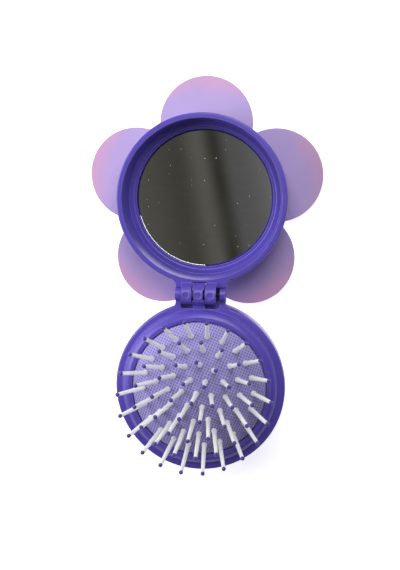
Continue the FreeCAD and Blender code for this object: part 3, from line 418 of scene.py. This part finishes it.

# Ground edge: a narrow band with a painted highlight, white and with a fixed normal leant towards the
# light. It shows on the lower-left side only, broken by small chips at its ends.
reach = add(tree, "ShaderNodeVectorMath", links={0: plan.outputs["Vector"]}, operation="LENGTH")
band = add(tree, "ShaderNodeMath", {1: mirror_radius - GROUND_EDGE}, {0: reach.outputs["Value"]},
           operation="GREATER_THAN")
towards = add(tree, "ShaderNodeVectorMath", {1: (math.cos(PAINTED_GLINT_BEARING), math.sin(PAINTED_GLINT_BEARING), 0)},
              {0: plan.outputs["Vector"]}, operation="DOT_PRODUCT")
lit = add(tree, "ShaderNodeMapRange",
          {"From Min": PAINTED_GLINT_FROM_SHARE * mirror_radius, "From Max": PAINTED_GLINT_FULL_SHARE * mirror_radius},
          {"Value": towards.outputs["Value"]})
chips = add(tree, "ShaderNodeTexNoise", {"Scale": 1 / EDGE_CHIP, "Detail": 2.0}, {"Vector": place})
ground = add(tree, "ShaderNodeMath", links={0: lit.outputs["Result"], 1: chips.outputs["Fac"]},
             operation="GREATER_THAN")
painted_glint = add(tree, "ShaderNodeMath", links={0: band.outputs["Value"], 1: ground.outputs["Value"]},
            operation="MULTIPLY")
painted_glint_normal = add(tree, "ShaderNodeCombineXYZ", dict(zip("XYZ", PAINTED_GLINT_NORMAL)))
painted_glint_bsdf = add(tree, "ShaderNodeBsdfPrincipled",
            {"Base Color": linear("#F6F8F8"), "Metallic": 0.7, "Roughness": 0.4},
            {"Normal": painted_glint_normal.outputs["Vector"]})
shader = add(tree, "ShaderNodeMixShader",
             links={0: painted_glint.outputs["Value"], 1: silver.outputs[0], 2: painted_glint_bsdf.outputs[0]})
tree.links.new(shader.outputs[0], out.inputs["Surface"])
dress(nodes["mirror_glass"], silvered_glass)

# Blossom on the lid's back: a flat plaque of five petals that stands out round the lid, with a smaller
# blossom and a round eye on its outer face. Soft PVC, cast in layers and glued to the lid.
PVC_IOR = 1.53
PVC_ROUGHNESS = 0.45
PVC_DEPTH = 0.2 * MM
PLAQUE_CLOUD = 9 * MM
PLAQUE_EDGE = 0.5 * MM
PLAQUE_DARK = "#BDA6DD"
PLAQUE_LIGHT = "#CAB4E6"
PLAQUE_RIM = "#DDA4CC"
PETAL_TIP = 48.3 * MM
SPRAY_WIDTH = 9 * MM
SPRAY_DRIFT = 4 * MM
SPRAY_PINK = "#E3A9CE"
INNER_CLOUD = 5 * MM

# Plaque: matt lilac with pink sprayed unevenly on the petal tips and caught on the rounded rim.
lilac_pvc, tree, out, place = new_material("lilac_cast_pvc")
offset = add(tree, "ShaderNodeVectorMath", {1: lid_centre}, {0: place}, operation="SUBTRACT")
plan = add(tree, "ShaderNodeVectorMath", {1: (1, 1, 0)}, {0: offset.outputs["Vector"]},
           operation="MULTIPLY")
reach = add(tree, "ShaderNodeVectorMath", links={0: plan.outputs["Vector"]}, operation="LENGTH")
cloud = add(tree, "ShaderNodeTexNoise", {"Scale": 1 / PLAQUE_CLOUD, "Detail": 4.0}, {"Vector": place})
drift = add(tree, "ShaderNodeMath", {1: 2 * SPRAY_DRIFT, 2: -SPRAY_DRIFT}, {0: cloud.outputs["Fac"]},
            operation="MULTIPLY_ADD")
spread = add(tree, "ShaderNodeMath", links={0: reach.outputs["Value"], 1: drift.outputs["Value"]},
             operation="ADD")
spray = add(tree, "ShaderNodeMapRange",
            {"From Min": PETAL_TIP - SPRAY_WIDTH, "From Max": PETAL_TIP, "To Max": 0.75},
            {"Value": spread.outputs["Value"]}, interpolation_type="SMOOTHSTEP")
ground = add(tree, "ShaderNodeMix", {6: linear(PLAQUE_DARK), 7: linear(PLAQUE_LIGHT)},
             {0: cloud.outputs["Fac"]}, data_type="RGBA")
tint = add(tree, "ShaderNodeMix", {7: linear(SPRAY_PINK)},
           {0: spray.outputs["Result"], 6: ground.outputs[2]}, data_type="RGBA")
edge = add(tree, "ShaderNodeBevel", {"Radius": PLAQUE_EDGE}, samples=6)
face = add(tree, "ShaderNodeNewGeometry")
turn = add(tree, "ShaderNodeVectorMath", links={0: edge.outputs["Normal"], 1: face.outputs["Normal"]},
           operation="DOT_PRODUCT")
rim = add(tree, "ShaderNodeMapRange", {"From Min": 0.99, "From Max": 0.7, "To Max": 0.6},
          {"Value": turn.outputs["Value"]})
rimmed = add(tree, "ShaderNodeMix", {7: linear(PLAQUE_RIM)},
             {0: rim.outputs["Result"], 6: tint.outputs[2]}, data_type="RGBA")
relief = add(tree, "ShaderNodeBump", {"Strength": 0.12, "Distance": PVC_DEPTH},
             {"Height": cloud.outputs["Fac"], "Normal": edge.outputs["Normal"]})
shader = add(tree, "ShaderNodeBsdfPrincipled", {"IOR": PVC_IOR, "Roughness": PVC_ROUGHNESS},
             {"Base Color": rimmed.outputs[2], "Normal": relief.outputs["Normal"]})
tree.links.new(shader.outputs[0], out.inputs["Surface"])
dress(nodes["ornament_plaque"], lilac_pvc)

# Inner petals and eye: matt pink and matt purple, clouded a little by the casting.
for node, name, dark, light in (("ornament_petals", "pink_cast_pvc", "#DFA3CB", "#E9B6D8"),
                                ("ornament_eye", "purple_cast_pvc", "#5F4AB0", "#6F5ABD")):
    cast_pvc, tree, out, place = new_material(name)
    cloud = add(tree, "ShaderNodeTexNoise", {"Scale": 1 / INNER_CLOUD, "Detail": 4.0}, {"Vector": place})
    tint = add(tree, "ShaderNodeMix", {6: linear(dark), 7: linear(light)}, {0: cloud.outputs["Fac"]},
               data_type="RGBA")
    relief = add(tree, "ShaderNodeBump", {"Strength": 0.12, "Distance": PVC_DEPTH},
                 {"Height": cloud.outputs["Fac"]})
    shader = add(tree, "ShaderNodeBsdfPrincipled", {"IOR": PVC_IOR, "Roughness": PVC_ROUGHNESS},
                 {"Base Color": tint.outputs[2], "Normal": relief.outputs["Normal"]})
    tree.links.new(shader.outputs[0], out.inputs["Surface"])
    dress(nodes[node], cast_pvc)

# Floor: a plain sheet of white backdrop paper under the open compact, as in a product photograph.
# Matt, and lit a little from within, so that it comes out as white as overexposed paper does.
FLOOR_HALF = 1.5
FLOOR_DROP = 0.1 * MM
corners = FLOOR_HALF * np.array([(-1, -1, 0), (1, -1, 0), (1, 1, 0), (-1, 1, 0)])
floor = new_piece("white_paper_floor", corners - (0, 0, FLOOR_DROP), [(0, 1, 2, 3)])
white_paper, tree, out, _ = new_material("white_backdrop_paper")
shader = add(tree, "ShaderNodeBsdfPrincipled",
             {"Base Color": linear("#F6F6F6"), "Roughness": 0.9, "Emission Color": linear("#FFFFFF"),
              "Emission Strength": 0.7})
tree.links.new(shader.outputs[0], out.inputs["Surface"])
dress(floor, white_paper)

# Light: one low soft box at the left, one at the top and a faint fill, in a dim room with a pale horizon.
# The mirror shows the ceiling as upright bands: each stop is a grey at that value of x + BAND_SLANT y
# of the unit direction.
BAND_SLANT = 0.2
BANDS = ((-0.26, "#AAAAAA"), (-0.177, "#55524D"), (-0.137, "#45433E"), (-0.116, "#5E5C57"),
         (-0.101, "#363530"), (-0.087, "#585858"), (0.02, "#A0A0A0"))
HORIZON = "#CFCFCF"
WALL = "#3C3C3C"
world = bpy.data.worlds.new("studio")
bpy.context.scene.world = world
world.use_nodes = True
tree = world.node_tree
tree.nodes.clear()
way = add(tree, "ShaderNodeTexCoord").outputs["Generated"]
split = add(tree, "ShaderNodeSeparateXYZ", links={0: way})
across = add(tree, "ShaderNodeMath", {1: BAND_SLANT}, {0: split.outputs["Y"], 2: split.outputs["X"]},
             operation="MULTIPLY_ADD")
first, last = BANDS[0][0], BANDS[-1][0]
along = add(tree, "ShaderNodeMapRange", {"From Min": first, "From Max": last},
            {"Value": across.outputs["Value"]})
bands = add(tree, "ShaderNodeValToRGB", links={"Fac": along.outputs["Result"]})
bands.color_ramp.interpolation = "EASE"
stops = bands.color_ramp.elements
for value, _ in BANDS[1:-1]:
    stops.new((value - first) / (last - first))
for stop, (_, grey) in zip(stops, BANDS):
    stop.color = linear(grey)
overhead = add(tree, "ShaderNodeMapRange", {"From Min": 0.86, "From Max": 0.95},
               {"Value": split.outputs["Z"]}, interpolation_type="SMOOTHSTEP")
height = add(tree, "ShaderNodeMapRange", {"From Min": 0.06, "From Max": 0.2},
             {"Value": split.outputs["Z"]}, interpolation_type="SMOOTHSTEP")
walls = add(tree, "ShaderNodeMix", {6: linear(HORIZON), 7: linear(WALL)}, {0: height.outputs["Result"]},
            data_type="RGBA")
room = add(tree, "ShaderNodeMix",
           links={0: overhead.outputs["Result"], 6: walls.outputs[2], 7: bands.outputs["Color"]},
           data_type="RGBA")
glow = add(tree, "ShaderNodeBackground", {"Strength": 1.0}, {"Color": room.outputs[2]})
add(tree, "ShaderNodeOutputWorld", links={"Surface": glow.outputs[0]})

# Each lamp: its name, its place and its disc's width in metres, and its power in watts.
target = Vector((-0.2 * MM, -3.62 * MM, 20.35 * MM))
for name, spot, width, watts in (("left_soft_box", (-0.324, 0.057, 0.21), 0.28, 0.95),
                                 ("top_soft_box", (0.042, 0.241, 0.311), 0.28, 0.88),
                                 ("fill", (0.664, 0.242, 0.727), 0.4, 0.2)):
    lamp = bpy.data.lights.new(name, "AREA")
    lamp.shape = "DISK"
    lamp.size = width
    lamp.energy = watts
    box = bpy.data.objects.new(name, lamp)
    box.location = spot
    box.rotation_euler = (target - Vector(spot)).to_track_quat("-Z", "Y").to_euler()
    bpy.context.scene.collection.objects.link(box)

# Camera: above the open compact, a little to the right and towards the mirror, as in the photograph.
# It looks at the target with the mirror's side up, rolled by a fraction of a degree.
EYE = Vector((46.5 * MM, 50.7 * MM, 432.4 * MM))
SENSOR = 36
LENS = 67.45
NEAREST = 10 * MM
ROLL = math.radians(0.44)
camera = bpy.data.cameras.new("camera")
camera.sensor_fit = "AUTO"
camera.sensor_width = SENSOR
camera.lens = LENS
camera.clip_start = NEAREST
stand = bpy.data.objects.new("camera", camera)
stand.location = EYE
back = (EYE - target).normalized()
level = Vector((0, 1, 0)).cross(back).normalized()
right = level * math.cos(ROLL) + back.cross(level) * math.sin(ROLL)
stand.rotation_euler = Matrix((right, back.cross(right), back)).transposed().to_euler()
bpy.context.scene.collection.objects.link(stand)
bpy.context.scene.camera = stand
bpy.context.scene.view_settings.view_transform = "Standard"
